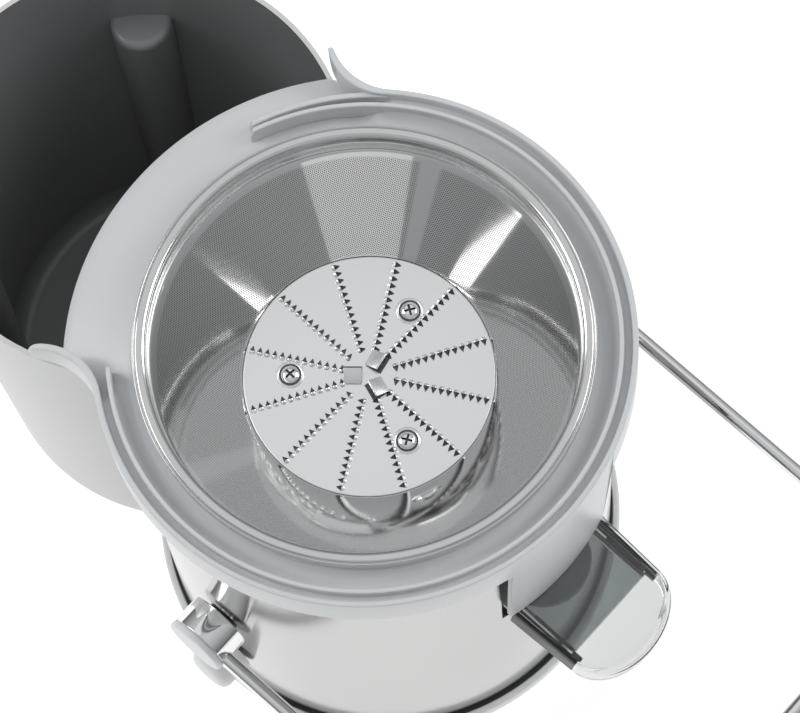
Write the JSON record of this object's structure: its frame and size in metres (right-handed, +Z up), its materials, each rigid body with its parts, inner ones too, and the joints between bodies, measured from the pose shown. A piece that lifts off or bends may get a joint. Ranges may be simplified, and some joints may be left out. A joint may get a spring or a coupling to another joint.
{
  "type": "centrifugal juicer",
  "caption": "Countertop centrifugal juicer without its lid: sieve basket with grater disc in a bowl, smoke spout, wire bail and a tall pulp bin behind.",
  "frame": {"origin": "centre of the object's footprint box, on the surface that the feet stand on", "axes": "+X along the spout, away from the pulp bin; +Y to the side away from the control knob; +Z up along the spindle"},
  "size_m": [0.4174, 0.2286, 0.235],
  "materials": {
    "polished_steel": "polished, faint vertical grain",
    "chrome": "bright plated",
    "brushed_steel": "satin sheet steel, pressed and micro-perforated",
    "plain_steel": "plain mill finish",
    "bowl_grey": "satin blue-grey ABS",
    "base_grey": "satin light grey ABS",
    "bin_grey": "satin outside, glossy darker inside",
    "smoke_plastic": "smoke-tinted clear SAN",
    "black_plastic": "black nylon",
    "rubber": "black rubber",
    "copper": "enamelled copper wire",
    "carbon": "pressed carbon",
    "brass": "folded brass",
    "zinc": "die-cast zinc"
  },
  "bodies": {
    "housing": {"housing_shell": "polished_steel", "base_ring": "base_grey", "base_plate": "base_grey", "foot_1": "rubber", "foot_2": "rubber", "foot_3": "rubber", "foot_4": "rubber", "cord_gland": "rubber", "motor_deck": "base_grey", "upper_bearing": "plain_steel", "shaft_seal": "rubber", "stator_core": "plain_steel", "field_coil_1": "copper", "field_coil_2": "copper", "lower_bearing": "plain_steel", "lower_bracket": "zinc", "motor_bolt_1": "plain_steel", "motor_bolt_2": "plain_steel", "carbon_brush_1": "carbon", "carbon_brush_2": "carbon", "brush_holder_1": "brass", "brush_holder_2": "brass", "rotary_switch": "black_plastic", "interlock_switch": "black_plastic", "noise_capacitor": "base_grey", "terminal_block": "base_grey", "pivot_bush_near": "black_plastic", "pivot_bush_far": "black_plastic"},
    "rotor": {"motor_shaft": "plain_steel", "armature_core": "plain_steel", "commutator": "copper", "cooling_fan": "black_plastic", "drive_coupling": "rubber"},
    "bowl": {"juice_bowl": "bowl_grey", "spout_duct": "smoke_plastic"},
    "hood": {"spout_hood": "smoke_plastic"},
    "basket": {"basket_rim": "chrome", "sieve_cone": "brushed_steel", "basket_base": "base_grey", "grater_disc": "brushed_steel", "grater_screw_1": "chrome", "grater_screw_2": "chrome", "grater_screw_3": "chrome"},
    "bail": {"bail_rod": "chrome", "hub_cap_near": "chrome", "hub_cap_far": "chrome"},
    "knob": {"control_knob": "base_grey"},
    "bin": {"pulp_bin": "bin_grey"}
  },
  "joints": [
    {"name": "rotor_spin", "type": "hinge", "parent": "housing", "child": "rotor", "pos_m": [0.00626, 0, 0.1], "axis": [0, 0, 1], "continuous": true},
    {"name": "bowl_lift", "type": "slide", "parent": "housing", "child": "bowl", "axis": [0, 0, 1], "range_m": [0, 0.1]},
    {"name": "basket_spin", "type": "hinge", "parent": "bowl", "child": "basket", "pos_m": [0.00626, 0, 0.19], "axis": [0, 0, 1], "continuous": true},
    {"name": "hood_pull", "type": "slide", "parent": "bowl", "child": "hood", "axis": [0.9925, 0, -0.1219], "range_m": [0, 0.06]},
    {"name": "bail_swing", "type": "hinge", "parent": "housing", "child": "bail", "pos_m": [0.00626, 0, 0.099], "axis": [0, 1, 0], "range_deg": [-95, 0]},
    {"name": "knob_turn", "type": "hinge", "parent": "housing", "child": "knob", "pos_m": [0.00626, -0.1, 0.05], "axis": [0, -1, 0], "range_deg": [0, 90]},
    {"name": "bin_slide", "type": "slide", "parent": "housing", "child": "bin", "axis": [-1, 0, 0], "range_m": [0, 0.15]}
  ],
  "couplings": [
    {"joint": "basket_spin", "follows": "rotor_spin", "ratio": 1}
  ]
}
